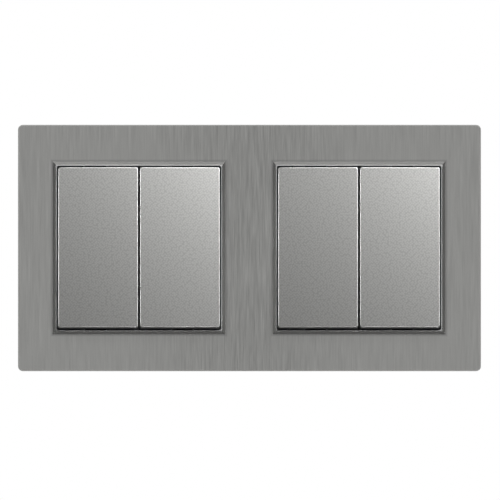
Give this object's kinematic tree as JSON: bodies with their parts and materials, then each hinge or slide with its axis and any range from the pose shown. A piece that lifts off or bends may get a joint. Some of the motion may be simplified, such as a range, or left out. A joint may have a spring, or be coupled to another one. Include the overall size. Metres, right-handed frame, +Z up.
{
  "type": "two-circuit light switch",
  "caption": "Flush light switches side by side in one brushed metal cover frame, each with a pair of silver-grey rockers that work separate circuits.",
  "frame": {"origin": "on the wall surface, midway between the two switches and level with their centres", "axes": "+X to the right and +Z up as seen from the room, +Y into the wall; the room is towards -Y"},
  "size_m": [0.1494, 0.0336, 0.0794],
  "materials": {
    "brushed_metal": "mid-grey metal, brushed up and down",
    "silver_lacquer": "silver-grey metallic lacquer, satin and finely speckled",
    "carrier_plastic": "dark grey moulded plastic",
    "base_plastic": "off-white moulded thermoset",
    "cover_plastic": "light grey moulded plastic",
    "yoke_plastic": "natural white moulded plastic",
    "plunger_plastic": "smooth natural bearing plastic",
    "zinc_steel": "bright zinc-plated sheet steel",
    "spring_steel": "plain stainless spring steel",
    "brass": "rolled brass strip",
    "contact_silver": "silver contact pad"
  },
  "bodies": {
    "mounted_set": {"frame_plate": "brushed_metal", "frame_carrier": "carrier_plastic", "left_switch_bezel": "silver_lacquer", "left_switch_bearing_cover": "cover_plastic", "left_switch_base": "base_plastic", "left_switch_support_ring": "zinc_steel", "left_switch_line_terminal": "brass", "left_switch_fixed_contacts": "contact_silver", "left_switch_clamp_springs": "spring_steel", "left_switch_claw_screws": "zinc_steel", "left_switch_left_load_terminal": "brass", "left_switch_right_load_terminal": "brass", "right_switch_bezel": "silver_lacquer", "right_switch_bearing_cover": "cover_plastic", "right_switch_base": "base_plastic", "right_switch_support_ring": "zinc_steel", "right_switch_line_terminal": "brass", "right_switch_fixed_contacts": "contact_silver", "right_switch_clamp_springs": "spring_steel", "right_switch_claw_screws": "zinc_steel", "right_switch_left_load_terminal": "brass", "right_switch_right_load_terminal": "brass"},
    "left_switch_left_rocker_body": {"left_switch_left_rocker": "silver_lacquer", "left_switch_left_yoke": "yoke_plastic", "left_switch_left_plunger": "plunger_plastic", "left_switch_left_spring": "spring_steel"},
    "left_switch_left_lever_body": {"left_switch_left_lever": "brass", "left_switch_left_moving_contact": "contact_silver"},
    "left_switch_right_rocker_body": {"left_switch_right_rocker": "silver_lacquer", "left_switch_right_yoke": "yoke_plastic", "left_switch_right_plunger": "plunger_plastic", "left_switch_right_spring": "spring_steel"},
    "left_switch_right_lever_body": {"left_switch_right_lever": "brass", "left_switch_right_moving_contact": "contact_silver"},
    "left_switch_top_claw_body": {"left_switch_top_claw": "zinc_steel"},
    "left_switch_bottom_claw_body": {"left_switch_bottom_claw": "zinc_steel"},
    "right_switch_left_rocker_body": {"right_switch_left_rocker": "silver_lacquer", "right_switch_left_yoke": "yoke_plastic", "right_switch_left_plunger": "plunger_plastic", "right_switch_left_spring": "spring_steel"},
    "right_switch_left_lever_body": {"right_switch_left_lever": "brass", "right_switch_left_moving_contact": "contact_silver"},
    "right_switch_right_rocker_body": {"right_switch_right_rocker": "silver_lacquer", "right_switch_right_yoke": "yoke_plastic", "right_switch_right_plunger": "plunger_plastic", "right_switch_right_spring": "spring_steel"},
    "right_switch_right_lever_body": {"right_switch_right_lever": "brass", "right_switch_right_moving_contact": "contact_silver"},
    "right_switch_top_claw_body": {"right_switch_top_claw": "zinc_steel"},
    "right_switch_bottom_claw_body": {"right_switch_bottom_claw": "zinc_steel"}
  },
  "joints": [
    {"name": "left_switch_left_rocker_hinge", "type": "hinge", "parent": "mounted_set", "child": "left_switch_left_rocker_body", "pos_m": [-0.0475, -0.0045, 0], "axis": [1, 0, 0], "range_deg": [0, 7]},
    {"name": "left_switch_left_lever_hinge", "type": "hinge", "parent": "mounted_set", "child": "left_switch_left_lever_body", "pos_m": [-0.0475, 0.0104, 0], "axis": [1, 0, 0], "range_deg": [-17.5, 0]},
    {"name": "left_switch_right_rocker_hinge", "type": "hinge", "parent": "mounted_set", "child": "left_switch_right_rocker_body", "pos_m": [-0.0235, -0.0045, 0], "axis": [1, 0, 0], "range_deg": [0, 7]},
    {"name": "left_switch_right_lever_hinge", "type": "hinge", "parent": "mounted_set", "child": "left_switch_right_lever_body", "pos_m": [-0.0235, 0.0104, 0], "axis": [1, 0, 0], "range_deg": [-17.5, 0]},
    {"name": "left_switch_top_claw_hinge", "type": "hinge", "parent": "mounted_set", "child": "left_switch_top_claw_body", "pos_m": [-0.0355, 0.0008, 0.0192], "axis": [1, 0, 0], "range_deg": [0, 30]},
    {"name": "left_switch_bottom_claw_hinge", "type": "hinge", "parent": "mounted_set", "child": "left_switch_bottom_claw_body", "pos_m": [-0.0355, 0.0008, -0.0192], "axis": [-1, 0, 0], "range_deg": [0, 30]},
    {"name": "right_switch_left_rocker_hinge", "type": "hinge", "parent": "mounted_set", "child": "right_switch_left_rocker_body", "pos_m": [0.0235, -0.0045, 0], "axis": [1, 0, 0], "range_deg": [0, 7]},
    {"name": "right_switch_left_lever_hinge", "type": "hinge", "parent": "mounted_set", "child": "right_switch_left_lever_body", "pos_m": [0.0235, 0.0104, 0], "axis": [1, 0, 0], "range_deg": [-17.5, 0]},
    {"name": "right_switch_right_rocker_hinge", "type": "hinge", "parent": "mounted_set", "child": "right_switch_right_rocker_body", "pos_m": [0.0475, -0.0045, 0], "axis": [1, 0, 0], "range_deg": [0, 7]},
    {"name": "right_switch_right_lever_hinge", "type": "hinge", "parent": "mounted_set", "child": "right_switch_right_lever_body", "pos_m": [0.0475, 0.0104, 0], "axis": [1, 0, 0], "range_deg": [-17.5, 0]},
    {"name": "right_switch_top_claw_hinge", "type": "hinge", "parent": "mounted_set", "child": "right_switch_top_claw_body", "pos_m": [0.0355, 0.0008, 0.0192], "axis": [1, 0, 0], "range_deg": [0, 30]},
    {"name": "right_switch_bottom_claw_hinge", "type": "hinge", "parent": "mounted_set", "child": "right_switch_bottom_claw_body", "pos_m": [0.0355, 0.0008, -0.0192], "axis": [-1, 0, 0], "range_deg": [0, 30]}
  ],
  "couplings": [
    {"joint": "left_switch_left_lever_hinge", "follows": "left_switch_left_rocker_hinge", "ratio": -2.5},
    {"joint": "left_switch_right_lever_hinge", "follows": "left_switch_right_rocker_hinge", "ratio": -2.5},
    {"joint": "right_switch_left_lever_hinge", "follows": "right_switch_left_rocker_hinge", "ratio": -2.5},
    {"joint": "right_switch_right_lever_hinge", "follows": "right_switch_right_rocker_hinge", "ratio": -2.5}
  ]
}
